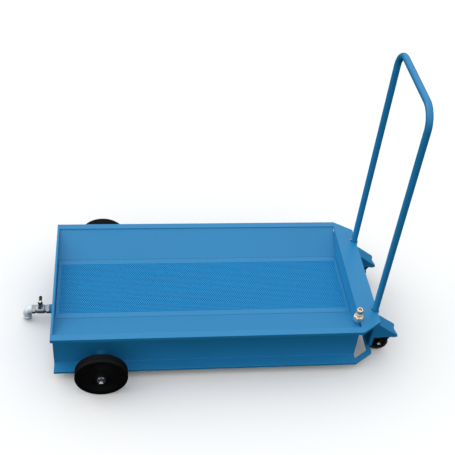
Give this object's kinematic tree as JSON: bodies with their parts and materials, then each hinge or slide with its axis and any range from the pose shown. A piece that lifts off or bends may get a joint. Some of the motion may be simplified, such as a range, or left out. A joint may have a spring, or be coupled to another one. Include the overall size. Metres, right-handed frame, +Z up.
{
  "type": "mobile oil drain tray",
  "caption": "Low wheeled steel tray with sloping sides, lift-out grille over a sump, push handle, two fixed wheels, two castors, drain valve and suction coupling.",
  "frame": {"origin": "middle of the whole object on the floor", "axes": "+X towards the handle, +Y to the far side away from the suction coupling, +Z up"},
  "size_m": [1.511, 0.85, 1.1867],
  "materials": {
    "blue_paint": "smooth powder coat, light blue, slight orange peel",
    "grille_paint": "powder coat over perforated sheet",
    "wheel_rubber": "matt black solid rubber",
    "wheel_disc": "black moulded disc",
    "bush": "natural nylon",
    "castor_rubber": "dark grey rubber",
    "castor_core": "black moulded core",
    "zinc": "bright zinc plate",
    "nickel": "nickel plate",
    "valve_trim": "turned brass",
    "lever_paint": "black painted lever",
    "elbow": "galvanised cast elbow",
    "brass": "turned brass, satin",
    "pipe": "painted steel pipe"
  },
  "bodies": {
    "chassis": {"axle_boss_far": "blue_paint", "axle_boss_near": "blue_paint", "axle_far": "zinc", "axle_near": "zinc", "axle_nuts": "zinc", "axle_washers": "zinc", "bracket_plate_far": "blue_paint", "bracket_plate_near": "blue_paint", "castor_bolts": "zinc", "castor_bracket_far": "blue_paint", "castor_bracket_near": "blue_paint", "castor_kingpins": "zinc", "castor_plate_far": "zinc", "castor_plate_near": "zinc", "castor_seat_far": "blue_paint", "castor_seat_near": "blue_paint", "coupling_nipple": "brass", "coupling_socket": "blue_paint", "drain_elbow": "elbow", "drain_socket": "blue_paint", "end_deck": "blue_paint", "end_wall": "blue_paint", "grille_bar_1": "blue_paint", "grille_bar_2": "blue_paint", "grille_bar_3": "blue_paint", "grille_bar_4": "blue_paint", "handle": "blue_paint", "handle_socket_far": "blue_paint", "handle_socket_near": "blue_paint", "left_end_wall": "blue_paint", "left_rim": "blue_paint", "lower_end_frame": "blue_paint", "side_web_far": "blue_paint", "side_web_near": "blue_paint", "suction_pipe": "pipe", "sump_floor": "blue_paint", "sump_wall_far": "blue_paint", "sump_wall_near": "blue_paint", "tray_side_far": "blue_paint", "tray_side_near": "blue_paint", "valve_body": "nickel"},
    "wheel_near": {"tyre_near": "wheel_rubber", "wheel_bush_near": "bush", "wheel_disc_near": "wheel_disc"},
    "wheel_far": {"tyre_far": "wheel_rubber", "wheel_bush_far": "bush", "wheel_disc_far": "wheel_disc"},
    "castor_near": {"castor_axle_near": "zinc", "castor_fork_near": "zinc"},
    "castor_far": {"castor_axle_far": "zinc", "castor_fork_far": "zinc"},
    "castor_wheel_near": {"castor_core_near": "castor_core", "castor_tyre_near": "castor_rubber"},
    "castor_wheel_far": {"castor_core_far": "castor_core", "castor_tyre_far": "castor_rubber"},
    "drain_lever": {"lever_nut": "zinc", "valve_ball": "valve_trim", "valve_lever": "lever_paint", "valve_stem": "valve_trim"},
    "grille_tray": {"grille": "grille_paint"}
  },
  "joints": [
    {"name": "wheel_near_roll", "type": "hinge", "parent": "chassis", "child": "wheel_near", "pos_m": [-0.4335, -0.376, 0.1], "axis": [0, 1, 0], "continuous": true},
    {"name": "castor_near_swivel", "type": "hinge", "parent": "chassis", "child": "castor_near", "pos_m": [0.7215, -0.2, 0.1], "axis": [0, 0, 1], "continuous": true},
    {"name": "castor_near_roll", "type": "hinge", "parent": "castor_near", "child": "castor_wheel_near", "pos_m": [0.6935, -0.2, 0.04], "axis": [0, 1, 0], "continuous": true},
    {"name": "wheel_far_roll", "type": "hinge", "parent": "chassis", "child": "wheel_far", "pos_m": [-0.4335, 0.376, 0.1], "axis": [0, 1, 0], "continuous": true},
    {"name": "castor_far_swivel", "type": "hinge", "parent": "chassis", "child": "castor_far", "pos_m": [0.7215, 0.2, 0.1], "axis": [0, 0, 1], "continuous": true},
    {"name": "castor_far_roll", "type": "hinge", "parent": "castor_far", "child": "castor_wheel_far", "pos_m": [0.6935, 0.2, 0.04], "axis": [0, 1, 0], "continuous": true},
    {"name": "drain_lever_turn", "type": "hinge", "parent": "chassis", "child": "drain_lever", "pos_m": [-0.6825, 0, 0.094], "axis": [0, 0, 1], "range_deg": [0, 90]},
    {"name": "grille_lift", "type": "slide", "parent": "chassis", "child": "grille_tray", "axis": [0, 0, 1], "range_m": [0, 0.3]}
  ]
}
